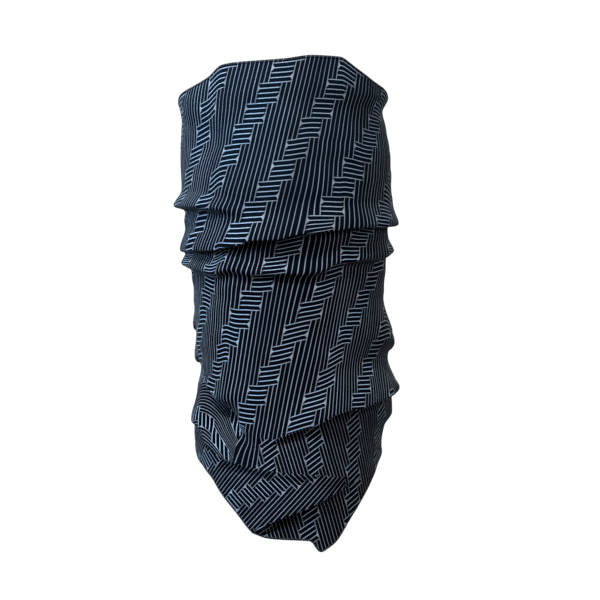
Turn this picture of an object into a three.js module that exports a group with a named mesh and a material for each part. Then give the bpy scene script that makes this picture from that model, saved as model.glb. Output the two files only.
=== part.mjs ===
// Neck gaiter: a seamless tube of printed stretch knit, as it sits on a wearer from the nose down to the chest.
// The cloth is one piece. It is drawn as three sections that meet face to face, so that the section over the
// face can be pulled down off the nose while the folds under the chin bunch up.
// Units are millimetres, +Z is up, the wearer looks along -Y, and the origin is on the axis of the neck.

import * as THREE from 'three';

// Cloth and thread
const CLOTH = 1.5;
const GAP = 0.3;

// How finely the sections are divided: facets round the tube, and rows up and down each section
const AROUND = 48;
const FACE_ROWS = 6;
const DRAPE_ROWS = 10;
const ROWS_PER_GATHER = 6;
const HEM_ROW_SHARE = 0.03;
const SPIN_RADIUS = 10;

// Heights where the face section ends and where the lower drape begins
const FACE_FOOT = 125;
const DRAPE_HEAD = 20;

// Top edge: high over the nose, lower at the ears, lowest behind the head
const TOP_NOSE = 236;
const TOP_EARS = 200;
const TOP_NAPE = 176;
const TOP_TURN = THREE.MathUtils.degToRad(4);
const TOP_FLATNESS = 0.75;

// Bottom edge: a bib on the chest, short over the shoulders and behind the neck
const BIB_TIP = -187;
const BIB_BACK = -88;
const BIB_TURN = THREE.MathUtils.degToRad(8);
const BIB_POINTEDNESS = 3.2;

// The worn tube at a few heights: [height, reach to the left, to the right, to the front, to the back]
const WORN_SHAPE = [
  [250, 90, 83, 93, 89],
  [200, 93, 86, 97, 94],
  [150, 93, 88, 99, 96],
  [110, 95, 91, 98, 94],
  [78, 91, 89, 95, 90],
  [50, 86, 86, 92, 86],
  [20, 81, 85, 90, 84],
  [-27, 77, 88, 92, 84],
  [-50, 79, 92, 95, 86],
  [-85, 82, 84, 97, 88],
  [-110, 79, 80, 98, 88],
  [-200, 76, 76, 101, 88],
];

// The folds bunched under the chin
const GATHERS = 3;
const GATHER_DEPTH = 3.5;

// Overlock stitching: a bead of thread that wraps each raw edge
const BEAD_WALL = 0.6;
const BEAD_REACH = 2.8;

// Care label: a tape folded double and sewn inside the bottom edge at the back
const LABEL_WIDTH = 16;
const LABEL_LENGTH = 34;
const LABEL_TAPE = 0.6;
const LABEL_SPLIT = 0.8;
const LABEL_ABOVE_EDGE = 6;
const LABEL_FOLD_STEPS = 6;
const FACETS_BEHIND_LABEL = 2;
const STITCH_THREAD = 0.7;
const STITCH_INSET = 2;

function material(color, roughness) {
  return new THREE.MeshStandardMaterial({ color, roughness, metalness: 0 });
}

const PRINTED_KNIT = material(0x10161f, 0.85);
const OVERLOCK_THREAD = material(0x0c1017, 0.7);
const LABEL_SATIN = material(0xd9dade, 0.45);
const LABEL_THREAD = material(0x1a2230, 0.6);

function wornShapeAt(height) {
  const last = WORN_SHAPE.length - 1;
  let above = WORN_SHAPE.findIndex((station) => station[0] < height);
  if (above < 1) {
    above = above === 0 ? 1 : last;
  }
  const upper = WORN_SHAPE[above - 1];
  const lower = WORN_SHAPE[above];
  const share = THREE.MathUtils.clamp((upper[0] - height) / (upper[0] - lower[0]), 0, 1);
  return upper.slice(1).map((reach, side) => THREE.MathUtils.lerp(reach, lower[side + 1], share));
}

// A point of the cloth's middle surface moved outwards by offset. The angle is 0 in front and grows to the right.
function clothPoint(angle, height, offset) {
  const [left, right, front, back] = wornShapeAt(height);
  const wide = Math.sin(angle) > 0 ? right : left;
  const deep = Math.cos(angle) > 0 ? front : back;
  const outwards = new THREE.Vector2(deep * Math.sin(angle), -wide * Math.cos(angle)).normalize();
  const x = wide * Math.sin(angle) + offset * outwards.x;
  const y = -deep * Math.cos(angle) + offset * outwards.y;
  return new THREE.Vector3(x, y, height);
}

function topEdge(angle) {
  const forward = Math.cos(angle - TOP_TURN);
  if (forward > 0) {
    return TOP_EARS + (TOP_NOSE - TOP_EARS) * forward ** TOP_FLATNESS;
  }
  return TOP_EARS + (TOP_EARS - TOP_NAPE) * forward;
}

function bottomEdge(angle) {
  const forward = 0.5 + 0.5 * Math.cos(angle - BIB_TURN);
  return THREE.MathUtils.lerp(BIB_BACK, BIB_TIP, forward ** BIB_POINTEDNESS);
}

// Spins a closed outline of (across, along) points once around, and moves each vertex to place(angle, across, along).
// The outline is spun at SPIN_RADIUS, clear of the axis, so that across can be read back from each vertex.
function ringFrom(outline, place) {
  const closed = [...outline, outline[0]];
  const points = closed.map(([across, along]) => new THREE.Vector2(across + SPIN_RADIUS, along));
  const ring = new THREE.LatheGeometry(points, AROUND);
  const vertices = ring.attributes.position;
  for (let i = 0; i < vertices.count; i += 1) {
    const angle = Math.atan2(vertices.getX(i), vertices.getZ(i));
    const across = Math.hypot(vertices.getX(i), vertices.getZ(i)) - SPIN_RADIUS;
    const placed = place(angle, across, vertices.getY(i));
    vertices.setXYZ(i, placed.x, placed.y, placed.z);
  }
  ring.computeVertexNormals();
  return ring;
}

// The outline of a wall seen edge on: up its outer side and down its inner side, through the given shares of height.
function wallOutline(shares) {
  const outer = shares.map((share) => [CLOTH / 2, share]);
  const inner = shares.map((share) => [-CLOTH / 2, share]).reverse();
  return [...outer, ...inner];
}

function evenShares(steps) {
  return Array.from({ length: steps + 1 }, (_, step) => step / steps);
}

function named(name, geometry, finish) {
  const mesh = new THREE.Mesh(geometry, finish);
  mesh.name = name;
  return mesh;
}

function faceSection() {
  const place = (angle, across, share) => {
    const height = THREE.MathUtils.lerp(FACE_FOOT + GAP, topEdge(angle), share);
    return clothPoint(angle, height, across);
  };
  return named('face_section', ringFrom(wallOutline(evenShares(FACE_ROWS)), place), PRINTED_KNIT);
}

function neckGathers() {
  const place = (angle, across, share) => {
    const height = THREE.MathUtils.lerp(DRAPE_HEAD, FACE_FOOT, share);
    const fold = GATHER_DEPTH * Math.sin(Math.PI * share) * Math.sin(2 * Math.PI * GATHERS * share);
    return clothPoint(angle, height, across + fold);
  };
  return named('neck_gathers', ringFrom(wallOutline(evenShares(ROWS_PER_GATHER * GATHERS)), place), PRINTED_KNIT);
}

function lowerDrape() {
  const shares = [0, HEM_ROW_SHARE, ...evenShares(DRAPE_ROWS).slice(1)];
  const place = (angle, across, share) => {
    const height = THREE.MathUtils.lerp(bottomEdge(angle), DRAPE_HEAD - GAP, share);
    return clothPoint(angle, height, across);
  };
  return named('lower_drape', ringFrom(wallOutline(shares), place), PRINTED_KNIT);
}

// An overlock bead is a channel that straddles the edge; up is 1 on a top edge and -1 on a bottom edge.
function overlock(name, edge, up) {
  const inside = CLOTH / 2 + GAP;
  const outside = inside + BEAD_WALL;
  const crown = GAP + BEAD_WALL;
  const channel = [
    [outside, -BEAD_REACH],
    [outside, crown],
    [-outside, crown],
    [-outside, -BEAD_REACH],
    [-inside, -BEAD_REACH],
    [-inside, GAP],
    [inside, GAP],
    [inside, -BEAD_REACH],
  ];
  const outline = up > 0 ? channel : channel.map(([across, along]) => [across, -along]).reverse();
  const place = (angle, across, along) => clothPoint(angle, edge(angle) + along, across);
  return named(name, ringFrom(outline, place), OVERLOCK_THREAD);
}

// The tape seen edge on: two leaves joined by the fold at the top, sewn down at their feet.
function careLabel(backWall) {
  const outer = LABEL_TAPE + LABEL_SPLIT / 2;
  const inner = LABEL_SPLIT / 2;
  const bend = LABEL_LENGTH - outer;
  const profile = new THREE.Shape();
  profile.moveTo(-outer, 0);
  profile.lineTo(-inner, 0);
  profile.lineTo(-inner, bend);
  profile.absarc(0, bend, inner, Math.PI, 0, true);
  profile.lineTo(inner, 0);
  profile.lineTo(outer, 0);
  profile.lineTo(outer, bend);
  profile.absarc(0, bend, outer, 0, Math.PI, false);
  profile.closePath();
  const tape = new THREE.ExtrudeGeometry(profile, {
    depth: LABEL_WIDTH,
    bevelEnabled: false,
    curveSegments: LABEL_FOLD_STEPS,
  });
  const label = named('care_label', tape, LABEL_SATIN);
  label.rotation.set(Math.PI / 2, Math.PI / 2, 0);
  label.position.set(-LABEL_WIDTH / 2, backWall - GAP - outer, bottomEdge(Math.PI) + LABEL_ABOVE_EDGE);
  return label;
}

function labelStitching(backWall) {
  const length = LABEL_WIDTH - 2 * STITCH_INSET;
  const row = new THREE.BoxGeometry(length, STITCH_THREAD, STITCH_THREAD);
  const stitching = named('label_stitching', row, LABEL_THREAD);
  const face = backWall - 2 * GAP - 2 * LABEL_TAPE - LABEL_SPLIT;
  const height = bottomEdge(Math.PI) + LABEL_ABOVE_EDGE + STITCH_INSET;
  stitching.position.set(0, face - STITCH_THREAD / 2, height);
  return stitching;
}

// The inner face of the back wall, at the flattest facets beside the label
function innerBackWall() {
  const height = bottomEdge(Math.PI) + LABEL_ABOVE_EDGE + LABEL_LENGTH / 2;
  const facet = (2 * Math.PI) / AROUND;
  const sideways = clothPoint(Math.PI - FACETS_BEHIND_LABEL * facet, height, -CLOTH / 2);
  return sideways.y - GAP;
}

const gaiter = new THREE.Group();
const backWall = innerBackWall();
gaiter.add(faceSection());
gaiter.add(neckGathers());
gaiter.add(lowerDrape());
gaiter.add(overlock('top_overlock', topEdge, 1));
gaiter.add(overlock('bottom_overlock', bottomEdge, -1));
gaiter.add(careLabel(backWall));
gaiter.add(labelStitching(backWall));

export default gaiter;
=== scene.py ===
"""A printed knit neck gaiter, draped as it sits on a wearer from the nose down to the chest."""

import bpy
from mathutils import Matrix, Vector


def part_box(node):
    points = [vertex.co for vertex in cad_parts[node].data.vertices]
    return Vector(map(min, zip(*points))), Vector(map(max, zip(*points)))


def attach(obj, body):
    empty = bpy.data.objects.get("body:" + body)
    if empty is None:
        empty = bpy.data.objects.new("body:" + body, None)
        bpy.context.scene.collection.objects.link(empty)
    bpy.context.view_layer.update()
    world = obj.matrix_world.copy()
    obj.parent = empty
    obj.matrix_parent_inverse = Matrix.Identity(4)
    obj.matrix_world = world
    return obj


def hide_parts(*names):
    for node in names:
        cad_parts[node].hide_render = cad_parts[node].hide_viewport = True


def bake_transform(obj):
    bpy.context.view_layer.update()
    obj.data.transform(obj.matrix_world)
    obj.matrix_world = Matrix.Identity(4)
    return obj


bl_info = {
    "name": "Neck Gaiter",
    "version": (1, 0, 0),
    "blender": (4, 5, 0),
    "location": "View3D > Sidebar > Gaiter",
    "description": "Builds a printed knit tube with its folds, edge thread and care label "
                   "round a packed frame",
    "category": "Add Mesh",
}

import math

import bmesh
import bpy
import numpy as np
from mathutils import Matrix, Vector, noise

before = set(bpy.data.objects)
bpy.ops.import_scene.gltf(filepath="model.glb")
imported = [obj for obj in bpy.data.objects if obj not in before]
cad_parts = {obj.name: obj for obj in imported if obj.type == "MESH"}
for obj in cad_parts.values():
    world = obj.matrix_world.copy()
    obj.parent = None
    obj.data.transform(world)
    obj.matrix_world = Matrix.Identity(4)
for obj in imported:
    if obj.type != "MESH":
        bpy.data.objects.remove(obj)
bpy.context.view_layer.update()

MM = 0.001
FULL_TURN = 360.0

# ----------------------------------------
# The drape. Directions round the tube are in degrees, 0 in front, growing to the right. Heights and
# reaches are in millimetres from the frame's origin.
# ----------------------------------------

# Height, reach to the left, right, front and back, and how square the front is on its left and
# right
TRUNK = [
    (-200, 76, 76, 99, 88, 2.2, 2.1),
    (-107, 79, 80, 97, 88, 2.2, 2.1),
    (-83, 81, 83, 95, 87, 2.2, 2.1),
    (-70, 80, 90, 94, 86, 2.2, 2.1),
    (-50, 78, 90, 92, 85, 2.2, 2.15),
    (-24, 75, 84.5, 90, 84, 2.2, 2.15),
    (-8, 79, 91, 88, 83, 2.2, 2.1),
    (26, 80.4, 82.8, 88, 84, 2.1, 2.1),
    (50, 84.5, 84, 90, 86, 2.05, 2.0),
    (85, 89.5, 87.5, 94, 91, 2.0, 1.85),
    (115, 92, 89.5, 97, 94, 2.0, 1.75),
    (150, 92.8, 88.5, 98, 96, 2.0, 1.7),
    (178, 91.8, 84, 98, 95, 2.0, 1.7),
    (188, 93.2, 82, 97, 94, 2.0, 1.75),
    (202, 95, 87, 97, 93, 2.0, 1.75),
    (250, 92, 86, 94, 88, 2.0, 1.8),
]
BACK_ROUNDNESS = 2.1

# Degrees to either side over which the tube's facing is measured, and the steps in which its length
# round is
FACING_STEP = 1.5
ROUND_STEPS = 3600

TOP_EDGE = [
    (-180, 176), (-130, 182), (-100, 192), (-85, 199), (-63, 206), (-45, 215), (-36, 225),
    (-26, 227), (-14, 228), (-1, 229.5), (13, 232.5), (30, 231.8), (37, 227), (44, 221.5),
    (58, 213), (75, 207), (88, 200), (110, 188), (140, 180),
]
BOTTOM_EDGE = [
    (-180, -88), (-130, -90), (-95, -98), (-78, -106), (-49, -123), (-36.6, -140), (-26, -156),
    (-16.6, -171), (-10, -174.5), (-4, -175.5), (11.6, -177), (14, -182), (16.8, -186.5),
    (21, -183.5), (26, -178), (33, -164.4), (52, -135), (72, -114), (90, -104), (130, -92),
]

# Each fold: where its lower edge runs, how far it stands out, how far it hangs over, how deep the
# cloth tucks in beneath it, and how wide it is above and below its edge. The folds are listed from
# the top of the tube down, and one that stands out nowhere only marks a line across the cloth.
FOLDS = {
    "cheek_plain": {
        "edge": [(-180, 138), (-90, 146), (0, 160), (60, 152), (90, 146)],
        "out": [(-180, 0), (0, 0)],
        "hang": [(-180, 0), (0, 0)],
        "tuck": [(-180, 0), (0, 0)],
        "above": 20,
        "below": 20,
    },
    "cheek_ridge": {
        "edge": [(-180, 118), (-130, 112), (-82, 107), (-56, 106), (-43, 104.5), (-34, 103),
                 (-24, 101), (0, 99), (40, 104), (85, 110), (130, 114)],
        "out": [(-180, 4), (-130, 5), (-85, 7), (-60, 6), (-43, 4.5), (-30, 1.5), (-20, 0), (40, 0),
                (85, 1), (130, 4)],
        "hang": [(-180, 3), (-85, 3), (-60, 3), (-43, 2), (-25, 0), (85, 0), (130, 3)],
        "tuck": [(-180, 2), (-85, 2), (-60, 2.5), (-43, 2), (-25, 0), (85, 0), (130, 2)],
        "above": 10,
        "below": 8,
    },
    "chin_fold": {
        "edge": [(-180, 80), (-130, 74), (-85, 69), (-61, 68.5), (-42, 68.3), (-37, 70),
                 (-24.5, 72.3), (-19, 75.7), (-4.5, 76.5), (2, 79.8), (12, 82.4), (24, 84.2),
                 (36, 86.9), (55, 88.2), (84, 90.7), (92, 92), (130, 88)],
        "out": [(-180, 6), (-130, 6), (-85, 5), (-50, 5), (-20, 6), (10, 7), (40, 6.5), (70, 6),
                (89, 7), (130, 6)],
        "hang": [(-180, 7), (-85, 4), (-50, 6), (-20, 9), (15, 10), (50, 7), (89, 5), (130, 7)],
        "tuck": [(-180, 3), (-85, 1), (-50, 2), (-20, 3), (15, 3), (50, 2), (89, 1), (130, 3)],
        "above": 15,
        "below": 8,
    },
    "throat_ridge": {
        "edge": [(-180, 50), (-130, 54), (-85.5, 58), (-61, 52.4), (-42, 49.7), (-32, 52.2),
                 (-20, 48.7), (-4, 48.7), (10, 48.7), (19.5, 51.3), (26, 56.4), (39, 59.9),
                 (61.5, 61.9), (89, 68.5), (130, 60)],
        "out": [(-180, 6), (-130, 6), (-85, 6), (-60, 4.5), (-20, 3.5), (10, 3.5), (30, 4.5),
                (60, 4.5), (89, 5), (130, 6)],
        "hang": [(-180, 6), (-85, 3), (-60, 3.5), (-20, 3), (10, 3), (30, 5), (60, 4), (89, 3),
                 (130, 6)],
        "tuck": [(-180, 2), (-85, 1), (-20, 1), (10, 1), (30, 2), (60, 1.5), (89, 1), (130, 2)],
        "above": 9,
        "below": 9,
    },
    "cowl_fold": {
        "edge": [(-180, -32), (-130, -28), (-90, -25), (-71, -28), (-58, -46), (-48, -54),
                 (-39.6, -62), (-33, -70.5), (-24, -80), (-8, -92), (-1.3, -88), (5, -84.3),
                 (16, -78.5), (24.6, -71), (43.6, -64), (50, -60.8), (63, -56), (88, -47.5),
                 (130, -38)],
        "out": [(-180, 6), (-130, 5), (-90, 2), (-71, 1), (-58, 0), (-24, 0), (-10, 1), (5, 5),
                (25, 8), (45, 9), (63, 9), (80, 8), (95, 7), (130, 6)],
        "hang": [(-180, 8), (-130, 6), (-90, 2), (-60, 1), (-35, 3), (-24, 2), (-14, 0), (-8, 2),
                 (5, 8), (25, 11), (45, 12), (63, 11), (85, 8), (130, 8)],
        "tuck": [(-180, 3), (-130, 2), (-90, 0), (-71, 3), (-55, 8), (-42, 11), (-33, 10), (-24, 4),
                 (-14, 0), (5, 2), (25, 4), (63, 3), (80, 0), (95, 0), (130, 3)],
        "above": 24,
        "below": 10,
    },
    "bib_crease": {
        "edge": [(-180, -52), (-130, -56), (-90, -70), (-75, -75), (-60, -79), (-52, -84.7),
                 (-45, -95.5), (-36.5, -105), (-26, -112), (-12, -117), (4, -120.4), (16, -121.5),
                 (34, -123), (50, -110), (70, -92), (88, -80), (130, -60)],
        "out": [(-180, 5), (-130, 5), (-90, 3), (-75, 5), (-60, 7), (-45, 8), (-36, 7), (-26, 4),
                (-15, 2), (-5, 1.5), (15, 2), (30, 1.5), (38, 0), (90, 0), (130, 4)],
        "hang": [(-180, 6), (-90, 3), (-60, 5), (-45, 7), (-36, 6), (-26, 4), (-15, 1), (0, 0.5),
                 (30, 0.5), (90, 0), (130, 5)],
        "tuck": [(-180, 2), (-90, 1), (-60, 3), (-45, 4), (-36, 4), (-26, 2), (-15, 0.5), (30, 0.5),
                 (90, 0), (130, 2)],
        "above": 18,
        "below": 8,
    },
    "bib_roll": {
        "edge": [(-180, -74), (-130, -78), (-95, -88), (-78, -98), (-49, -114), (-36.6, -131),
                 (-26, -148), (-16.4, -167), (-8.7, -162), (-1.3, -157), (8.6, -150), (15.3, -145),
                 (22, -139), (34, -131), (50, -122), (72, -104), (90, -94), (130, -78)],
        "out": [(-180, 4), (-120, 4), (-90, 0), (-20, 0), (-16, 2), (-10, 5), (0, 6), (10, 6),
                (20, 5), (28, 2), (36, 0), (90, 0), (120, 4)],
        "hang": [(-180, 5), (-120, 5), (-90, 0), (-20, 0), (-17, 2), (-10, 5), (0, 9), (10, 10),
                 (20, 8), (28, 3), (36, 0), (90, 0), (120, 5)],
        "tuck": [(-180, 1), (-90, 0), (-20, 0), (-10, 3), (0, 5), (10, 5), (20, 4), (28, 1),
                 (36, 0), (90, 0)],
        "above": 13,
        "below": 8,
    },
}

# Gathers behind the neck: height, how much they slope and where they are highest, reach out and
# hang-over. They fade out towards the cheeks.
NAPE_FOLDS = [(30, 5, 120, 4, 6), (8, -6, 150, 8, 11), (-14, 3, 100, 5, 8)]
NAPE_FADE = [(-180, 1), (-115, 0.85), (-92, 0.25), (-78, 0), (78, 0), (92, 0.25), (115, 0.85)]
NAPE_ABOVE = 12
NAPE_BELOW = 8

# Soft lumps and hollows of what lies underneath: direction, height, spread round, spread up and
# down, reach out
LUMPS = [
    (-62, 190, 26, 22, 3.0),
    (-45, 160, 22, 26, -2.0),
    (55, 175, 26, 30, -1.5),
    (80, -8, 22, 12, 1.0),
    (76, -38, 9, 7, 2.5),
    (90, -47, 10, 8, 1.5),
    (-40, -70, 20, 17, -13.0),
]

# Rows of cloth between one fold line and the next, from the top edge to the bottom edge
ROWS_BETWEEN = [26, 18, 26, 24, 52, 34, 20, 22]
ROW_CROWDING = 0.5

# Where a fold's cloth starts above its lower edge, as a share of its hang-over, and where the tuck
# beneath it is deepest, as a share of its width below
FOLD_START = 1.05
TUCK_PLACE = 1.1

# Wrinkles of the knit: how closely they lie round the tube, how tall they are, how much finer and
# weaker the waves on them are, and how deep they all are
WRINKLES_ROUND = 1.9
WRINKLE_HEIGHT = 26
FINE_WRINKLES = 2.3
FINE_SHARE = 0.5
WRINKLE_DEPTH = 1.1

# The grain: how far the knit's wales lean between fold lines, as sideways travel per length of
# cloth, growing to the left on the way down, and how much more cloth each stretch takes up than its
# neighbour in front
LEAN = [
    [(-180, 0.2), (-85, 0.1), (-50, 0.15), (-20, 0.25), (10, 0.27), (40, 0.2), (60, 0.1),
     (85, 0.1)],
    [(-180, 0.2), (-85, 0.4), (-60, 0.42), (-40, 0.45), (-20, 0.3), (0, 0.25), (20, 0.12),
     (40, 0.12), (60, 0.25), (85, 0.25)],
    [(-180, 0.2), (-85, 0.4), (-50, 0.35), (-20, 0.25), (15, 0.2), (85, 0.15)],
    [(-180, 0.0), (-60, 0.15), (-20, 0.2), (5, 0.15), (25, 0.2), (42, 0.4), (60, 0.45), (90, 0.3),
     (140, 0.1)],
    [(-180, 0.2), (-90, 0.15), (-35, 0.15), (0, 0.22), (20, 0.28), (33, 0.36), (45, 0.45),
     (60, 0.55), (90, 0.5), (140, 0.3)],
    [(-180, 0.0), (-60, 0.2), (-35, 0.25), (-20, 0.15), (-5, 0.05), (10, -0.25), (30, -0.45),
     (70, -0.5), (130, 0.0)],
    [(-180, 0.0), (-90, 0.8), (-50, 0.95), (0, 0.8), (28, 0.7), (40, -0.3), (80, -0.4), (130, 0.0)],
    [(-180, 0.0), (-90, 0.9), (-30, 0.95), (-18, 0.5), (-8, -0.2), (30, -0.3), (80, -0.4),
     (130, 0.0)],
]
TAKE_UP = [
    [(-180, 0), (180, 0)],
    [(-180, 0), (-50, 0), (0, 0), (28, 0), (36, 4), (42, 7), (50, 10), (60, 15), (70, 19), (90, 19),
     (130, 10)],
    [(-180, 0), (-100, 4), (-70, 8), (-50, 5), (-35, 0), (28, 0), (40, 7), (56, 17), (70, 19),
     (90, 19), (130, 10)],
    [(-180, 5), (-90, 8), (-70, 5), (-46, 0), (-12, -2), (0, -1), (15, 3), (28, 9), (36, 13),
     (50, 19), (70, 24), (90, 24), (130, 12)],
    [(-180, 20), (-100, 30), (-65, 28), (-45, 15), (-25, 9), (0, 7), (14, 8), (28, 12), (36, 18),
     (42, 24), (52, 34), (62, 42), (80, 50), (100, 50), (140, 30)],
    [(-180, 30), (-100, 45), (-70, 40), (-54, 34), (-43, 28), (-29, 17), (-20, 14), (-8, 13),
     (8, 16), (20, 21), (31, 32), (38, 38), (45, 44), (57, 53), (75, 62), (100, 60), (140, 40)],
    [(-180, 30), (-100, 60), (-60, 80), (-30, 50), (0, 20), (20, 30), (40, 60), (80, 100),
     (120, 60)],
    [(-180, 30), (-100, 80), (-60, 90), (-30, 54), (-16, 30), (0, 35), (20, 45), (40, 70),
     (80, 104), (120, 60)],
    [(-180, 30), (-100, 80), (-60, 90), (-30, 54), (-16, 30), (0, 35), (20, 45), (40, 70),
     (80, 104), (120, 60)],
]

# Where the bunched cloth of the bib turns the print: the stretch between fold lines and the
# directions it covers, one block's upper left corner (millimetres round from the front, and
# height), how far the lines lean to the right and the rungs rise to the right in degrees, and the
# gaps between lines and between rungs in millimetres. An arch bends the print down on both sides of
# its apex (millimetres round from the front, and bend per millimetre). A patch may also keep to
# heights.
TURNED = [
    {"stretch": 4, "span": (66, 104), "heights": (-60, -27), "corner": (118.0, -30.0), "lean": -48,
     "rise": 40, "gaps": (2.9, 3.6)},
    {"stretch": 5, "span": (-14, 115), "corner": (13.4, -106.7), "lean": -17, "rise": 36,
     "gaps": (3.0, 3.8)},
    {"stretch": 6, "span": (31, 115), "corner": (13.4, -106.7), "lean": -17, "rise": 36,
     "gaps": (3.0, 3.8)},
    {"stretch": 7, "span": (-17, 115), "corner": (8.5, -168.4), "lean": -17, "rise": 33,
     "gaps": (3.2, 3.9)},
    {"stretch": 5, "span": (-115, -27), "corner": (-71.5, -75.0), "lean": 86, "rise": -82,
     "gaps": (2.5, 4.6), "arch": (-91.0, 0.019)},
    {"stretch": 6, "span": (-115, 31), "corner": (-35.0, -128.3), "lean": 43, "rise": -45,
     "gaps": (3.2, 3.3)},
    {"stretch": 7, "span": (-115, -17), "corner": (-35.0, -128.3), "lean": 43, "rise": -45,
     "gaps": (3.2, 3.3)},
]
TURN_FADE = (84, 124)

# How much closer the lines lie in front than behind
FRONT_CROWDING = 0.07

# The print's grid: lines in one repeat, repeats round, a ladder block's width and its step per row
# in lines, its rungs, the millimetres from one rung to the next, and the line and rung at the top
# edge in front
LINES_PER_REPEAT = 15
REPEATS_ROUND = 9
BLOCK_LINES = 5
STEP_LINES = 2
RUNGS = 4
RUNG_LENGTH = 4.15
PRINT_TURN = -10.1
PRINT_DROP = -4.8

# Painted sheen: the ground is lighter and bluer above the first of these rungs and plain below the
# second
SHEEN_HAZE_RUNGS = (8.0, 46.0)

# The filled corners of each ladder block: how steep they are, and how far they reach along the
# border
MITRE_SLOPE = 0.85
MITRE_REACH = 0.62

# How much ink there is on a line, how much that varies from line to line, how much more a ladder
# block has, and how grey the ink is between the blocks and in patches
LINE_INK = 0.4
UNEVEN_INK = 0.3
BLOCK_INK = 0.55
GREY_BETWEEN = 0.6
GREY_PATCHES = 0.4

# How finely the cloth's fibre, its grey patches and the mottle of its ground are grained, per line
FIBRE_GRAIN = 1.7
PATCH_GRAIN = 0.07
MOTTLE_GRAIN = 0.35

# The knit: wales in one line of the print, courses in one rung, how much a loop slants and how
# narrow it is
WALES_PER_LINE = 9.0
COURSES_PER_RUNG = 11.0
LOOP_SLANT = 1.2
LOOP_NARROWNESS = (1.6, 1.4)
KNIT_RELIEF = 0.12 * MM

# The height at which the tube's length round is measured
WORN_HEIGHT = 150.0

# Overlock: points of thread in one stitch, how far in the middle of a loop lies and how far the
# loops sink to the inside, as shares of their reach and thickness, where the needle thread runs,
# and how high it stands in and between its stitches
STEPS_PER_TURN = 10
LOOP_MIDDLE = 0.36
LOOP_SINK = 0.4
NEEDLE_PLACE = 0.8
NEEDLE_RISE = (1.0, 0.55)

# Care label: rows of the tape across and along, the share of each leaf that bends round at the fold
# and how much that lifts it, how far the leaves part at the hem and at the fold, how wavy they are,
# and how deep the back leaf ripples
TAPE_ROWS = (12, 64)
TAPE_BEND = 0.06
TAPE_LIFT = 0.4
LEAF_PARTING = (0.6, 1.6)
LEAF_WAVES = 9
RIPPLE_WAVES = 6
RIPPLE_DEPTH = 0.3 * MM

# The label's stitches: how many, how far in from its foot and its sides, the gap between two, their
# rise, how far from the cloth they start, in gaps of the tape, and the points of thread in each
LABEL_STITCHES = 7
STITCH_FOOT = 2.0 * MM
STITCH_SIDE = 1.5 * MM
STITCH_GAP = 0.2 * MM
STITCH_RISE = 0.35 * MM
STITCH_FACE = 2.6
STITCH_POINTS = 7

# The floor's height and half its side, how bright the backdrop is, and the studio lamps: name,
# place, size, share of the key light and colour
FLOOR_HEIGHT = -0.74
FLOOR_REACH = 6.0
BACKDROP = 1.05
LAMPS = [
    ("key", (-0.5, -0.95, 1.35), 0.45, 1.0, (0.92, 0.97, 1.0)),
    ("side", (-2.3, -0.3, 0.9), 1.2, 1.8, (0.58, 0.78, 1.0)),
    ("fill", (1.9, -1.4, 1.2), 1.5, 0.65, (0.98, 0.97, 0.97)),
    ("back", (1.0, 2.4, 1.5), 1.5, 0.85, (0.95, 0.98, 1.0)),
]


def curve_through(points, x):
    """A smooth curve through (x, value) points that never overshoots them, flat past its ends."""
    at, value = np.array(points, float).T
    gap = np.diff(at)
    rise = np.diff(value) / gap
    slope = np.zeros(len(at))
    same_way = rise[:-1] * rise[1:] > 0
    before, after = rise[:-1][same_way], rise[1:][same_way]
    slope[1:-1][same_way] = 2 * before * after / (before + after)
    x = np.clip(x, at[0], at[-1])
    k = np.clip(np.searchsorted(at, x) - 1, 0, len(at) - 2)
    u = (x - at[k]) / gap[k]
    left = value[k] * (1 + 2 * u) + gap[k] * slope[k] * u
    right = value[k + 1] * (3 - 2 * u) - gap[k] * slope[k + 1] * (1 - u)
    return left * (1 - u) ** 2 + right * u**2


def curve_round(points, degrees):
    """The same curve, closed on itself round the tube."""
    turns = (-FULL_TURN, 0, FULL_TURN)
    closed = [(at + turn, value) for turn in turns for at, value in points if at < 180]
    return curve_through(closed, degrees)


def bump(u):
    """A soft hump, 1 at u = 0 and 0 from u = -1 and u = 1 outwards."""
    return np.cos(np.clip(u, -1, 1) * math.pi / 2) ** 2


def trunk_point(degrees, height):
    """The smooth tube without folds: x and y in millimetres at each direction and height."""
    left, right, front, back, left_square, right_square = (
        curve_through([(row[0], row[k]) for row in TRUNK], height) for k in range(1, 7)
    )
    turn = np.radians(degrees)
    across, forward = np.sin(turn), np.cos(turn)
    wide = np.where(across > 0, right, left)
    deep = np.where(forward > 0, front, back)
    front_power = np.where(across > 0, right_square, left_square)
    power = np.where(forward > 0, front_power, BACK_ROUNDNESS)
    reach = (np.abs(across / wide) ** power + np.abs(forward / deep) ** power) ** (-1 / power)
    return reach * across, -reach * forward


def outwards(degrees, height):
    """The direction that faces out of the smooth tube, level with the ground."""
    ahead = trunk_point(degrees + FACING_STEP, height)
    behind = trunk_point(degrees - FACING_STEP, height)
    x, y = ahead[1] - behind[1], behind[0] - ahead[0]
    length = np.hypot(x, y)
    return x / length, y / length


def directions_round(columns):
    """Directions evenly spaced along the cloth, and the print's line at each, 0 in front."""
    fine = np.linspace(-180, 180, ROUND_STEPS + 1)
    x, y = trunk_point(fine, np.full_like(fine, WORN_HEIGHT))
    steps = np.hypot(np.diff(x), np.diff(y))
    length = np.concatenate(([0], np.cumsum(steps)))
    degrees = np.interp(np.linspace(0, length[-1], columns + 1), length, fine)
    crowded = steps * (1 + FRONT_CROWDING * np.cos(np.radians(fine[1:])))
    lines = np.concatenate(([0], np.cumsum(crowded)))
    lines = lines * LINES_PER_REPEAT * REPEATS_ROUND / crowded.sum()
    return degrees, np.interp(degrees, fine, lines - np.interp(0, fine, lines)), length[-1]


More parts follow.
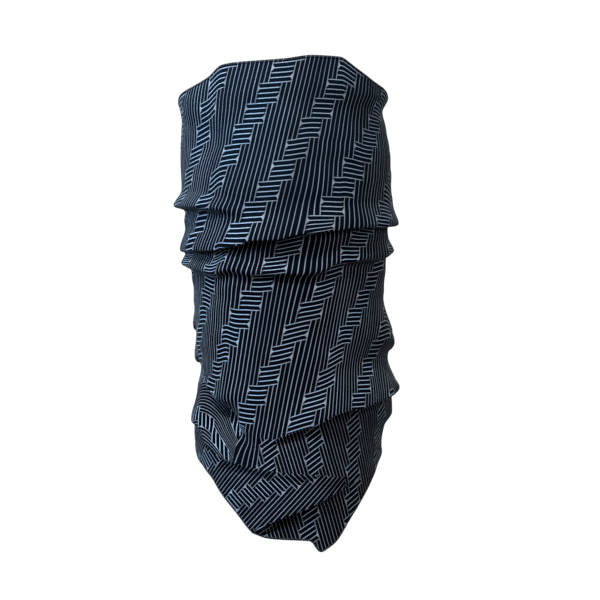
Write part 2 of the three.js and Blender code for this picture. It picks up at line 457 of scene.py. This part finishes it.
def fold_shift(height, line, out, hang, tuck, above, below):
    """How far one fold, whose middle runs along line, moves the cloth outwards and downwards."""
    u = (line - height) / np.where(height > line, above, below)
    outward = out * bump(u) - tuck * bump((u - TUCK_PLACE) / TUCK_PLACE)
    return outward, hang * bump(u)


def drape(columns):
    """The folded tube: points in metres (rows, columns, 3), and the print's place at each."""
    degrees, lines_round, length_round = directions_round(columns)
    edges = {name: curve_round(fold["edge"], degrees) for name, fold in FOLDS.items()}
    hangs = {name: curve_round(fold["hang"], degrees) for name, fold in FOLDS.items()}
    lines = {name: edges[name] + FOLD_START * hangs[name] for name in FOLDS}
    stations = [curve_round(TOP_EDGE, degrees), *lines.values(), curve_round(BOTTOM_EDGE, degrees)]
    rows, segment_of = [], []
    for k, count in enumerate(ROWS_BETWEEN):
        steps = np.arange(count + (k == len(ROWS_BETWEEN) - 1)) / count
        eased = 0.5 - 0.5 * np.cos(math.pi * steps)
        shares = steps + ROW_CROWDING * (eased - steps)
        rows += [stations[k] + share * (stations[k + 1] - stations[k]) for share in shares]
        segment_of += [(k, share) for share in shares]
    height = np.array(rows)
    around = np.broadcast_to(degrees, height.shape)
    outward = np.zeros_like(height)
    downward = np.zeros_like(height)
    for name, fold in FOLDS.items():
        out = curve_round(fold["out"], degrees)
        tuck = curve_round(fold["tuck"], degrees)
        widths = fold["above"], fold["below"]
        shift = fold_shift(height, lines[name], out, hangs[name], tuck, *widths)
        outward += shift[0]
        downward += shift[1]
    fade = curve_round(NAPE_FADE, degrees)
    for level, slope, highest, out, hang in NAPE_FOLDS:
        line = level + slope * np.cos(np.radians(degrees - highest))
        shift = fold_shift(height, line, out * fade, hang * fade, 0, NAPE_ABOVE, NAPE_BELOW)
        outward += shift[0]
        downward += shift[1]
    for direction, level, wide, tall, out in LUMPS:
        outward += out * bump((around - direction) / wide) * bump((height - level) / tall)
    outward += small_wrinkles(around, height)
    x, y = trunk_point(around, height)
    out_x, out_y = outwards(around, height)
    points = np.stack([x + outward * out_x, y + outward * out_y, height - downward], axis=-1)
    down, shift = cloth_coordinates(points, degrees, segment_of)
    spacing = length_round / (LINES_PER_REPEAT * REPEATS_ROUND)
    line = lines_round + shift / spacing + PRINT_TURN
    rung = down / RUNG_LENGTH + PRINT_DROP
    stretch_of = [k for k, _ in segment_of]
    return points * MM, printed_corners(points, around, np.stack([line, rung], axis=-1), stretch_of)


def printed_corners(points, around, grid, stretch_of):
    """The print's place at every cloth patch's corners: (rows, columns, down, across, 2)."""
    across = np.hypot(points[..., 0], points[..., 1]) * np.radians(around)
    fade = smooth_step((TURN_FADE[1] - np.abs(around)) / (TURN_FADE[1] - TURN_FADE[0]))[..., None]
    middle = (around[:-1, :-1] + around[:-1, 1:]) / 2
    stretch = np.array(stretch_of)[:-1, None]
    corners = corners_before = by_corner(grid)
    for turned in TURNED:
        left, right = turned["span"]
        low, high = turned.get("heights", (-math.inf, math.inf))
        level = points[:-1, :-1, 2]
        covered = (stretch == turned["stretch"]) & (middle > left) & (middle < right)
        covered &= (level > low) & (level < high)
        turned_grid = turned_print(turned, across, points[..., 2])
        near_side = covered & (np.abs(middle) > TURN_FADE[0])
        gap = (corners_before - by_corner(turned_grid))[near_side].mean(axis=(0, 1, 2))
        turned_grid += nearest_repeat(gap)
        blended = by_corner(grid + fade * (turned_grid - grid))
        corners = np.where(covered[..., None, None, None], blended, corners)
    return corners


def by_corner(grid):
    """Values at the points of the grid, as values at the four corners of each of its patches."""
    return np.stack([
        np.stack([grid[:-1, :-1], grid[:-1, 1:]], axis=2),
        np.stack([grid[1:, :-1], grid[1:, 1:]], axis=2),
    ], axis=2)


def turned_print(turned, across, height):
    """The print's line and rung where it lies turned."""
    lean, rise = math.radians(turned["lean"]), math.radians(turned["rise"])
    line_gap, rung_gap = turned["gaps"]
    apex, bend = turned.get("arch", (0.0, 0.0))
    arch = bend * ((across - apex) ** 2 - (turned["corner"][0] - apex) ** 2)
    across = across - turned["corner"][0]
    below = turned["corner"][1] - height - arch
    line = (across * math.cos(lean) + below * math.sin(lean)) / line_gap
    rung = (below * math.cos(rise) + across * math.sin(rise)) / rung_gap
    return np.stack([line, rung], axis=-1)


def nearest_repeat(gap):
    """The whole step of the print's repeat that comes nearest to a gap in lines and rungs."""
    rows = round(gap[1] / RUNGS)
    repeats = round((gap[0] + STEP_LINES * rows) / LINES_PER_REPEAT)
    return np.array([repeats * LINES_PER_REPEAT - rows * STEP_LINES, rows * RUNGS])


def smooth_step(share):
    share = np.clip(share, 0, 1)
    return share * share * (3 - 2 * share)


def small_wrinkles(around, height):
    """Shallow waves of the knit, longer round the tube than up and down it."""
    waves = np.zeros_like(height)
    for row in range(height.shape[0]):
        for column in range(height.shape[1] - 1):
            turn = math.radians(around[row, column])
            level = height[row, column] / WRINKLE_HEIGHT
            x, y = WRINKLES_ROUND * math.sin(turn), WRINKLES_ROUND * math.cos(turn)
            place = Vector((x, y, level))
            fine = noise.noise(place * FINE_WRINKLES)
            waves[row, column] = noise.noise(place) + FINE_SHARE * fine
    waves[:, -1] = waves[:, 0]
    return WRINKLE_DEPTH * waves


def cloth_coordinates(points, degrees, segment_of):
    """Each point's place on the flat cloth, in millimetres: down from the top, and sideways."""
    steps = np.linalg.norm(np.diff(points, axis=0), axis=-1)
    down = np.concatenate((np.zeros((1, points.shape[1])), np.cumsum(steps, axis=0)))
    lean = np.array([curve_round(LEAN[k], degrees) for k, _ in segment_of])
    shift = np.zeros_like(down)
    shift[1:] = np.cumsum(steps * lean[1:], axis=0)
    taken = [curve_round(points, degrees) for points in TAKE_UP]
    take_up = np.array([(1 - share) * taken[k] + share * taken[k + 1] for k, share in segment_of])
    return down + take_up, shift


# ----------------------------------------
# Materials
# ----------------------------------------


class Wire:
    """A socket that reads as a number, so that shader maths is written as an expression."""

    def __init__(self, finish, socket):
        self.finish = finish
        self.socket = socket

    def math(self, operation, *others, first=True):
        values = [self, *others] if first else [*others, self]
        return self.finish.add("ShaderNodeMath", {"operation": operation}, dict(enumerate(values)))

    def __add__(self, other):
        return self.math("ADD", other)

    __radd__ = __add__

    def __mul__(self, other):
        return self.math("MULTIPLY", other)

    __rmul__ = __mul__

    def __sub__(self, other):
        return self.math("SUBTRACT", other)

    def __rsub__(self, other):
        return self.math("SUBTRACT", other, first=False)

    def __truediv__(self, other):
        return self.math("DIVIDE", other)

    def __lt__(self, other):
        return self.math("LESS_THAN", other)

    def __gt__(self, other):
        return self.math("GREATER_THAN", other)

    def __abs__(self):
        return self.math("ABSOLUTE")

    def wrap(self, size):
        return self.math("WRAP", size, 0.0)

    def nearest(self):
        return self.math("ROUND")

    def larger(self, other):
        return self.math("MAXIMUM", other)

    def fade(self, start, end):
        """1 below start, 0 above end, and smooth between them."""
        settings = {"interpolation_type": "SMOOTHSTEP"}
        values = {0: self, 1: start, 2: end, 3: 1.0, 4: 0.0}
        return self.finish.add("ShaderNodeMapRange", settings, values)


class Finish:
    """A material made of nodes, with one Principled shader."""

    def __init__(self, name):
        self.material = bpy.data.materials.new(name)
        self.material.use_nodes = True
        self.tree = self.material.node_tree
        self.tree.nodes.clear()

    def add(self, kind, settings=None, values=None, output=0):
        """Adds one node: its settings, then the values or links of its sockets. Gives an output."""
        node = self.tree.nodes.new(kind)
        for name, setting in (settings or {}).items():
            setattr(node, name, setting)
        for socket, value in (values or {}).items():
            if isinstance(value, Wire):
                self.tree.links.new(value.socket, node.inputs[socket])
            else:
                node.inputs[socket].default_value = value
        return Wire(self, node.outputs[output])

    def mix(self, factor, first, second):
        values = {0: factor, 6: first, 7: second}
        return self.add("ShaderNodeMix", {"data_type": "RGBA"}, values, output=2)

    def noise(self, vector, scale, detail=2.0):
        values = {"Vector": vector, "Scale": scale, "Detail": detail}
        return self.add("ShaderNodeTexNoise", None, values)

    def coordinates(self, kind):
        return self.add("ShaderNodeTexCoord", None, None, output=kind)

    def parts(self, vector):
        split = self.add("ShaderNodeSeparateXYZ", None, {0: vector})
        outputs = split.socket.node.outputs
        return Wire(self, outputs[0]), Wire(self, outputs[1])

    def relief(self, height, distance, strength=1.0):
        values = {"Height": height, "Distance": distance, "Strength": strength}
        return self.add("ShaderNodeBump", None, values)

    def shade(self, **values):
        sockets = {name.replace("_", " "): value for name, value in values.items()}
        shader = self.add("ShaderNodeBsdfPrincipled", None, sockets)
        end = self.tree.nodes.new("ShaderNodeOutputMaterial")
        self.tree.links.new(shader.socket, end.inputs["Surface"])
        return self.material


def opaque(color):
    return (*color, 1.0)


def ladder_print(settings, line, rung):
    """Where the print's ink is: lines, and blocks of rungs that step down them. And its blocks."""
    half = settings.line_width / 2
    soft = settings.line_softness

    def stroke(distance, width=half):
        return distance.fade(width - soft, width + soft)

    def block_place(row):
        return (line + row * STEP_LINES).wrap(LINES_PER_REPEAT)

    row = (rung / RUNGS).math("FLOOR")
    inside = block_place(row)
    in_block = (inside > 0.5) * (inside < BLOCK_LINES - 0.5)
    between = 1 - in_block
    length_lines = stroke(abs(line - line.nearest())) * between
    rungs = stroke(abs(rung - rung.nearest())) * (inside < BLOCK_LINES)
    border_row = (rung / RUNGS).nearest()
    along_border = block_place(border_row)
    borders = stroke(abs(rung - border_row * RUNGS)) * (along_border < BLOCK_LINES + STEP_LINES)
    level = rung - row * RUNGS
    mitre = (inside + abs(level - 1) * MITRE_SLOPE) < MITRE_REACH
    far_mitre = (abs(BLOCK_LINES - inside) + abs(level - (RUNGS - 1)) * MITRE_SLOPE) < MITRE_REACH
    mitres = mitre.larger(far_mitre * (inside < BLOCK_LINES))
    return length_lines.larger(rungs).larger(borders).larger(mitres), in_block


def printed_knit(settings):
    """The outside of the cloth: pale ink on a near-black ground."""
    finish = Finish("printed_knit")
    cloth = finish.coordinates("UV")
    line, rung = finish.parts(cloth)
    ink, in_block = ladder_print(settings, line, rung)
    between = 1 - in_block
    one_by_one = {"noise_dimensions": "1D"}
    shade_of_line = finish.add("ShaderNodeTexWhiteNoise", one_by_one, {"W": line.nearest()})
    fibre = finish.noise(cloth, FIBRE_GRAIN, 3.0)
    strength = LINE_INK + shade_of_line * UNEVEN_INK * between + in_block * BLOCK_INK
    patches = finish.noise(cloth, PATCH_GRAIN, 1.0).fade(0.35, 0.65)
    greyness = between * GREY_BETWEEN + patches * GREY_PATCHES
    print_color = finish.mix(greyness, opaque(settings.line_color), opaque(settings.line_color_2))
    mottle = finish.noise(cloth, MOTTLE_GRAIN)
    mottled_ground = finish.mix(mottle, opaque(settings.ground_color), opaque(settings.ground_color_2))
    # Painted sheen: the ground turns lighter and bluer towards the top of the cloth, standing in
    # for the haze of light on the upper face
    ground = finish.mix(rung.fade(*SHEEN_HAZE_RUNGS), mottled_ground, opaque(settings.sheen_haze_color))
    return finish.shade(
        Base_Color=finish.mix(ink * strength, ground, print_color),
        Roughness=0.62 + 0.2 * fibre,
        Normal=knit_relief(finish, line, rung),
        Specular_IOR_Level=0.01,
        Sheen_Weight=settings.sheen,
        Sheen_Roughness=0.2,
        Sheen_Tint=opaque((0.78, 0.85, 1.0)),
    )


def knit_relief(finish, line, rung):
    """Rows of knit loops, finer than the print: a little V for each stitch."""
    wale = (line * WALES_PER_LINE).wrap(1.0) - 0.5
    course = (rung * COURSES_PER_RUNG + abs(wale) * LOOP_SLANT).wrap(1.0) - 0.5
    loops = (1 - abs(wale) * LOOP_NARROWNESS[0]) * (1 - abs(course) * LOOP_NARROWNESS[1])
    return finish.relief(loops, KNIT_RELIEF, 0.5)


def plain_reverse(settings):
    """The inside of the cloth, where the print only just shows through."""
    finish = Finish("plain_reverse")
    cloth = finish.coordinates("UV")
    line, rung = finish.parts(cloth)
    ink, _ = ladder_print(settings, line, rung)
    shade = finish.noise(cloth, 0.6, 3.0) * 0.5 + ink * 0.5
    color = finish.mix(shade, opaque(settings.reverse_color), opaque(settings.reverse_color_2))
    return finish.shade(
        Base_Color=color,
        Roughness=0.85,
        Normal=knit_relief(finish, line, rung),
        Specular_IOR_Level=0.2,
    )


def spun_thread(name, color, light_color):
    """Polyester thread: fine twisted plies along its length."""
    finish = Finish(name)
    place = finish.coordinates("Object")
    plies = finish.noise(place, 900.0, 2.0)
    return finish.shade(
        Base_Color=finish.mix(plies, opaque(color), opaque(light_color)),
        Roughness=0.6,
        Normal=finish.relief(plies, 0.0001, 0.6),
        Specular_IOR_Level=0.3,
    )


def satin_tape(settings):
    """The label's woven satin: fine floats across the tape."""
    finish = Finish("satin_tape")
    place = finish.coordinates("UV")
    across, along = finish.parts(place)
    floats = (along * 90.0).math("SINE") * 0.5 + 0.5
    shade = finish.noise(place, 3.0)
    return finish.shade(
        Base_Color=finish.mix(shade, opaque(settings.tape_color), opaque((0.62, 0.63, 0.65))),
        Roughness=0.35 + 0.15 * floats,
        Normal=finish.relief(floats, 0.00008, 0.5),
    )


# ----------------------------------------
# Pieces
# ----------------------------------------


def finished(name, mesh, materials):
    """Puts a mesh in the scene as one piece with its finish."""
    piece = bpy.data.objects.new(name, mesh)
    bpy.context.scene.collection.objects.link(piece)
    for material in materials:
        mesh.materials.append(material)
    for face in mesh.polygons:
        face.use_smooth = True
    return piece


def cloth_mesh(name, points, cloth):
    """A tube of cloth from a grid: its points, and their places on the flat cloth as the UV map."""
    rows, columns = points.shape[:2]
    grid = bmesh.new()
    bmesh.ops.create_grid(grid, x_segments=columns - 1, y_segments=rows - 1, size=1.0)
    uv_layer = grid.loops.layers.uv.new("UVMap")
    places = {}
    for vertex in grid.verts:
        column = round((vertex.co.x + 1) / 2 * (columns - 1))
        row = round((1 - vertex.co.y) / 2 * (rows - 1))
        places[vertex] = (row, column)
    for face in grid.faces:
        top, left = (min(places[vertex][k] for vertex in face.verts) for k in range(2))
        for loop in face.loops:
            row, column = places[loop.vert]
            loop[uv_layer].uv = cloth[top, left, row - top, column - left]
    for vertex, place in places.items():
        vertex.co = points[place]
    bmesh.ops.remove_doubles(grid, verts=grid.verts, dist=1e-6)
    bmesh.ops.recalc_face_normals(grid, faces=grid.faces)
    mesh = bpy.data.meshes.new(name)
    grid.to_mesh(mesh)
    grid.free()
    return mesh


def thread_mesh(name, runs, radius, closed):
    """Round thread along each run of points, as a mesh. A closed run joins its own start."""
    line = bpy.data.curves.new(name, "CURVE")
    line.dimensions = "3D"
    line.bevel_depth = radius
    line.bevel_resolution = 1
    line.use_fill_caps = True
    for run in runs:
        spline = line.splines.new("POLY")
        spline.points.add(len(run) - 1)
        for point, place in zip(spline.points, run):
            point.co = (*place, 1.0)
        spline.use_cyclic_u = closed
    drawn = bpy.data.objects.new(name, line)
    bpy.context.scene.collection.objects.link(drawn)
    evaluated = drawn.evaluated_get(bpy.context.evaluated_depsgraph_get())
    mesh = bpy.data.meshes.new_from_object(evaluated)
    bpy.data.objects.remove(drawn)
    bpy.data.curves.remove(line)
    return mesh


def overlock_runs(edge, inner, pitch, thickness, reach):
    """Thread wound over a raw edge, and the needle thread along it. Inner is a row further in."""
    step = np.linalg.norm(np.diff(edge, axis=0), axis=1)
    length = np.concatenate(([0], np.cumsum(step)))
    turns = round(length[-1] / pitch)
    along = np.linspace(0, length[-1], turns * STEPS_PER_TURN, endpoint=False)
    inward = inner - edge
    inward /= np.linalg.norm(inward, axis=1)[:, None]
    outward = np.cross(np.gradient(edge, axis=0), inward)
    outward /= np.linalg.norm(outward, axis=1)[:, None]
    outward *= np.sign((outward[:, :2] * edge[:, :2]).sum(axis=1))[:, None]

    def at(values, places):
        return np.stack([np.interp(places, length, values[:, axis]) for axis in range(3)], axis=-1)

    phase = np.linspace(0, turns * 2 * math.pi, len(along), endpoint=False)[:, None]
    over = at(edge, along) + at(inward, along) * reach * (LOOP_MIDDLE - 0.5 * np.cos(phase))
    over += at(outward, along) * (thickness * np.sin(phase) - thickness * LOOP_SINK)
    needle_places = along[:: STEPS_PER_TURN // 2]
    wave = np.where(np.arange(len(needle_places)) % 2, *NEEDLE_RISE)[:, None]
    needle = at(edge, needle_places) + at(inward, needle_places) * reach * NEEDLE_PLACE
    needle += at(outward, needle_places) * thickness * wave
    return [over, needle]


def stitch_run(start, end, outwards, rise):
    """One stitch: thread that comes up, lies along the cloth and goes down again."""
    start, end = np.array(start), np.array(end)
    shares = np.linspace(0, 1, STITCH_POINTS)[:, None]
    return start + (end - start) * shares + outwards * rise * np.sin(shares * math.pi) ** 0.5


class GaiterSettings(bpy.types.PropertyGroup):
    columns: bpy.props.IntProperty(
        name="Columns", description="Columns of cloth round the tube", default=216,
    )
    thickness: bpy.props.FloatProperty(
        name="Thickness", description="Thickness of the knit", default=0.0007, unit="LENGTH"
    )
    line_width: bpy.props.FloatProperty(
        name="Line width", description="Width of a printed line, as a share of the spacing",
        default=0.14,
    )
    line_softness: bpy.props.FloatProperty(
        name="Line softness", description="How far the ink bleeds, as a share of the spacing",
        default=0.04,
    )
    sheen: bpy.props.FloatProperty(name="Sheen", description="Microfibre sheen", default=0.06)
    ground_color: bpy.props.FloatVectorProperty(
        name="Ground", description="Ground of the print", subtype="COLOR",
        default=(0.0002, 0.0008, 0.0030),
    )
    ground_color_2: bpy.props.FloatVectorProperty(
        name="Ground 2", description="Second shade of the ground", subtype="COLOR",
        default=(0.0006, 0.0012, 0.0026),
    )
    # Painted sheen: the lighter, bluer ground of the upper face, standing in for the haze of light
    # on it
    sheen_haze_color: bpy.props.FloatVectorProperty(
        name="Sheen haze ground", description="Ground where the knit is stretched over the face",
        subtype="COLOR", default=(0.0011, 0.0040, 0.0085),
    )
    line_color: bpy.props.FloatVectorProperty(
        name="Lines", description="Ink of the ladder blocks", subtype="COLOR",
        default=(0.27, 0.375, 0.49),
    )
    line_color_2: bpy.props.FloatVectorProperty(
        name="Lines 2", description="Ink of the lines between the blocks", subtype="COLOR",
        default=(0.28, 0.315, 0.37),
    )
    reverse_color: bpy.props.FloatVectorProperty(
        name="Reverse", description="Inside of the cloth", subtype="COLOR",
        default=(0.05, 0.06, 0.08),
    )
    reverse_color_2: bpy.props.FloatVectorProperty(
        name="Reverse 2", description="Second shade of the inside", subtype="COLOR",
        default=(0.075, 0.085, 0.105),
    )
    thread_color: bpy.props.FloatVectorProperty(
        name="Thread", description="Overlock thread", subtype="COLOR", default=(0.006, 0.008, 0.014)
    )
    thread_color_2: bpy.props.FloatVectorProperty(
        name="Thread 2", description="Second shade of the thread", subtype="COLOR",
        default=(0.03, 0.036, 0.048),
    )
    thread_radius: bpy.props.FloatProperty(
        name="Thread radius", description="Radius of the sewing thread", default=0.0002,
        unit="LENGTH",
    )
    stitch_pitch: bpy.props.FloatProperty(
        name="Stitch pitch", description="From one overlock stitch to the next", default=0.0016,
        unit="LENGTH",
    )
    bead: bpy.props.FloatProperty(
        name="Overlock thickness", description="Half the thickness of the overlocked edge",
        default=0.00065, unit="LENGTH",
    )
    bite: bpy.props.FloatProperty(
        name="Overlock width", description="How far the overlock reaches in from the edge",
        default=0.0016, unit="LENGTH",
    )
    label_thread_color: bpy.props.FloatVectorProperty(
        name="Label thread", description="Thread that holds the label", subtype="COLOR",
        default=(0.012, 0.018, 0.032),
    )
    tape_thickness: bpy.props.FloatProperty(
        name="Tape", description="Thickness of the label tape", default=0.00025, unit="LENGTH"
    )
    tape_gap: bpy.props.FloatProperty(
        name="Tape gap", description="Room between the label's leaves", default=0.0005,
        unit="LENGTH",
    )
    tape_fold: bpy.props.FloatProperty(
        name="Tape fold", description="How round the label's fold is", default=0.0008, unit="LENGTH"
    )
    tape_color: bpy.props.FloatVectorProperty(
        name="Label", description="Label tape", subtype="COLOR", default=(0.8, 0.8, 0.81)
    )


class StageSettings(bpy.types.PropertyGroup):
    distance: bpy.props.FloatProperty(
        name="Camera distance", description="From the camera to the origin", default=3.5,
        unit="LENGTH",
    )
    picture_width: bpy.props.FloatProperty(
        name="Picture width", description="Width of what the camera sees at the origin",
        default=0.519, unit="LENGTH",
    )
    ambient: bpy.props.FloatProperty(
        name="Ambient", description="Light from all round", default=0.22
    )
    key_power: bpy.props.FloatProperty(
        name="Key light", description="Power of the key light", default=56.0, subtype="POWER",
        unit="POWER",
    )
    aim: bpy.props.FloatVectorProperty(
        name="Aim", description="What the camera looks at", subtype="TRANSLATION",
        default=(0.0104, 0.0, 0.026),
    )


class GAITER_OT_tube(bpy.types.Operator):
    """Drapes the printed tube with its folds"""

    bl_idname = "gaiter.tube"
    bl_label = "Tube"

    def execute(self, context):
        settings = context.scene.gaiter
        points, cloth = drape(settings.columns)
        mesh = cloth_mesh("knit_tube", points, cloth)
        finishes = [printed_knit(settings), plain_reverse(settings)]
        tube = finished("knit_tube", mesh, finishes)
        wall = tube.modifiers.new("Wall", "SOLIDIFY")
        wall.thickness = settings.thickness
        wall.offset = -1.0
        wall.material_offset = 1
        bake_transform(tube)
        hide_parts("face_section", "neck_gathers", "lower_drape")
        return {"FINISHED"}


class GAITER_OT_overlock(bpy.types.Operator):
    """Winds the overlock thread over the top and the bottom edge"""

    bl_idname = "gaiter.overlock"
    bl_label = "Overlock"

    def execute(self, context):
        settings = context.scene.gaiter
        points, _ = drape(settings.columns)
        finish = spun_thread("overlock_thread", settings.thread_color, settings.thread_color_2)
        for name, node, edge, inner, body in (
            ("top_edge_thread", "top_overlock", points[0], points[2], "face"),
            ("bottom_edge_thread", "bottom_overlock", points[-1], points[-3], "root"),
        ):
            runs = overlock_runs(edge, inner, settings.stitch_pitch, settings.bead, settings.bite)
            mesh = thread_mesh(name, runs, settings.thread_radius, True)
            thread = finished(name, mesh, [finish])
            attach(thread, body)
            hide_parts(node)
        return {"FINISHED"}


class GAITER_OT_label(bpy.types.Operator):
    """Folds the care label double and sews it inside the bottom edge at the back"""

    bl_idname = "gaiter.label"
    bl_label = "Care label"

    def execute(self, context):
        settings = context.scene.gaiter
        low, high = (np.array(corner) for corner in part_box("care_label"))
        wall = self.back_wall(settings, low, high)
        tape = self.folded_tape(settings, wall, low, high)
        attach(tape, "root")
        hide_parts("care_label")
        stitching = self.stitching(settings, wall, low, high)
        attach(stitching, "root")
        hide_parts("label_stitching")
        return {"FINISHED"}

    def back_wall(self, settings, low, high):
        """How far back the cloth's inner face lies at each height behind the label, in metres."""
        points, _ = drape(settings.columns)
        behind = points[:, np.abs(points[0, :, 0]) < high[0] + 2 * MM]
        behind = behind[:, behind[0, :, 1] > 0]
        heights = np.linspace(low[2] - 2 * MM, high[2] + 2 * MM, 12)
        reach = [behind[np.abs(behind[..., 2] - height) < 3 * MM][:, 1].min() for height in heights]
        return lambda height: np.interp(height, heights, reach) - settings.thickness

    def folded_tape(self, settings, wall, low, high):
        length = high[2] - low[2]
        width = high[0] - low[0]
        strip = bmesh.new()
        bmesh.ops.create_grid(strip, x_segments=TAPE_ROWS[0], y_segments=TAPE_ROWS[1], size=0.5)
        uv_layer = strip.loops.layers.uv.new("UVMap")
        for face in strip.faces:
            for loop in face.loops:
                loop[uv_layer].uv = (loop.vert.co.x * width / length, loop.vert.co.y * 2)
        for vertex in strip.verts:
            across, along = vertex.co.x, vertex.co.y * 2
            fold = settings.tape_fold * math.sqrt(max(0.0, 1 - (along / TAPE_BEND) ** 2))
            height = high[2] - abs(along) * length + TAPE_LIFT * fold
            wave = 1 - 0.5 * math.cos(LEAF_WAVES * across)
            gap = settings.tape_gap * (LEAF_PARTING[0] + LEAF_PARTING[1] * (1 - abs(along)) * wave)
            share = smooth_step((along + TAPE_BEND) / (2 * TAPE_BEND))
            ripple = 0.0 if along > 0 else RIPPLE_DEPTH * math.cos(RIPPLE_WAVES * along)
            back = wall(height) - settings.tape_gap - gap * share - ripple
            vertex.co = (across * width, back, height)
        bmesh.ops.recalc_face_normals(strip, faces=strip.faces)
        mesh = bpy.data.meshes.new("care_label_tape")
        strip.to_mesh(mesh)
        strip.free()
        tape = finished("care_label_tape", mesh, [satin_tape(settings)])
        body = tape.modifiers.new("Body", "SOLIDIFY")
        body.thickness = settings.tape_thickness
        body.offset = 0.0
        return tape

    def stitching(self, settings, wall, low, high):
        foot = low[2] + STITCH_FOOT
        places = np.linspace(low[0] + STITCH_SIDE, high[0] - STITCH_SIDE, LABEL_STITCHES + 1)
        face = wall(foot) - STITCH_FACE * settings.tape_gap
        inwards = np.array((0, -1.0, 0))
        runs = [
            stitch_run((start, face, foot), (end, face, foot), inwards, STITCH_RISE)
            for start, end in zip(places[:-1] + STITCH_GAP, places[1:] - STITCH_GAP)
        ]
        mesh = thread_mesh("label_stitches", runs, settings.thread_radius, False)
        finish = spun_thread("label_thread", settings.label_thread_color, settings.thread_color_2)
        return finished("label_stitches", mesh, [finish])


class GAITER_OT_stage(bpy.types.Operator):
    """Sets the pale floor, the soft lights and the camera"""

    bl_idname = "gaiter.stage"
    bl_label = "Stage"

    def execute(self, context):
        scene = context.scene
        settings = scene.gaiter_stage
        scene.view_settings.view_transform = "Standard"
        self.add_camera(scene, settings)
        self.add_floor(scene)
        self.add_lights(scene, settings)
        return {"FINISHED"}

    def add_camera(self, scene, settings):
        camera = bpy.data.cameras.new("camera")
        camera.sensor_width = 36.0
        camera.lens = camera.sensor_width * settings.distance / settings.picture_width
        holder = bpy.data.objects.new("camera", camera)
        aim = Vector(settings.aim)
        holder.location = aim + Vector((0, -settings.distance, 0))
        holder.rotation_euler = (math.pi / 2, 0, 0)
        scene.collection.objects.link(holder)
        scene.camera = holder

    def add_floor(self, scene):
        sheet = bmesh.new()
        bmesh.ops.create_grid(sheet, x_segments=1, y_segments=1, size=FLOOR_REACH)
        mesh = bpy.data.meshes.new("floor")
        sheet.to_mesh(mesh)
        sheet.free()
        mesh.transform(Matrix.Translation((0, 0, FLOOR_HEIGHT)))
        floor = bpy.data.objects.new("floor", mesh)
        scene.collection.objects.link(floor)
        finish = Finish("floor_paper")
        place = finish.coordinates("Object")
        grain = finish.noise(place, 40.0)
        white = finish.mix(grain, opaque((0.93, 0.93, 0.93)), opaque((0.96, 0.96, 0.96)))
        mesh.materials.append(finish.shade(
            Base_Color=white,
            Roughness=0.9,
            Emission_Color=opaque((1.0, 1.0, 1.0)),
            Emission_Strength=0.6,
        ))
        floor.visible_diffuse = False
        floor.visible_glossy = False

    def add_lights(self, scene, settings):
        world = bpy.data.worlds.new("studio")
        world.use_nodes = True
        nodes, links = world.node_tree.nodes, world.node_tree.links
        background = nodes["Background"]
        background.inputs["Color"].default_value = (1.0, 1.0, 1.0, 1.0)
        seen = nodes.new("ShaderNodeLightPath")
        strength = nodes.new("ShaderNodeMapRange")
        strength.inputs["To Min"].default_value = settings.ambient
        strength.inputs["To Max"].default_value = BACKDROP
        links.new(seen.outputs["Is Camera Ray"], strength.inputs["Value"])
        links.new(strength.outputs["Result"], background.inputs["Strength"])
        scene.world = world
        for name, place, size, share, color in LAMPS:
            lamp = bpy.data.lights.new(name, "AREA")
            lamp.color = color
            lamp.shape = "DISK"
            lamp.size = size
            lamp.energy = settings.key_power * share
            holder = bpy.data.objects.new(name, lamp)
            holder.location = place
            holder.rotation_euler = (-Vector(place)).to_track_quat("-Z", "Y").to_euler()
            scene.collection.objects.link(holder)


class GAITER_PT_panel(bpy.types.Panel):
    bl_idname = "GAITER_PT_panel"
    bl_label = "Neck Gaiter"
    bl_space_type = "VIEW_3D"
    bl_region_type = "UI"
    bl_category = "Gaiter"

    def draw(self, context):
        for step in STEPS:
            self.layout.operator(step.bl_idname)


STEPS = (GAITER_OT_stage, GAITER_OT_tube, GAITER_OT_overlock, GAITER_OT_label)
CLASSES = (GaiterSettings, StageSettings, *STEPS, GAITER_PT_panel)


def register():
    for each in CLASSES:
        bpy.utils.register_class(each)
    bpy.types.Scene.gaiter = bpy.props.PointerProperty(type=GaiterSettings)
    bpy.types.Scene.gaiter_stage = bpy.props.PointerProperty(type=StageSettings)


def unregister():
    del bpy.types.Scene.gaiter_stage
    del bpy.types.Scene.gaiter
    for each in reversed(CLASSES):
        bpy.utils.unregister_class(each)


def main():
    register()
    bpy.ops.gaiter.stage()
    bpy.ops.gaiter.tube()
    bpy.ops.gaiter.overlock()
    bpy.ops.gaiter.label()


if __name__ == "__main__":
    main()
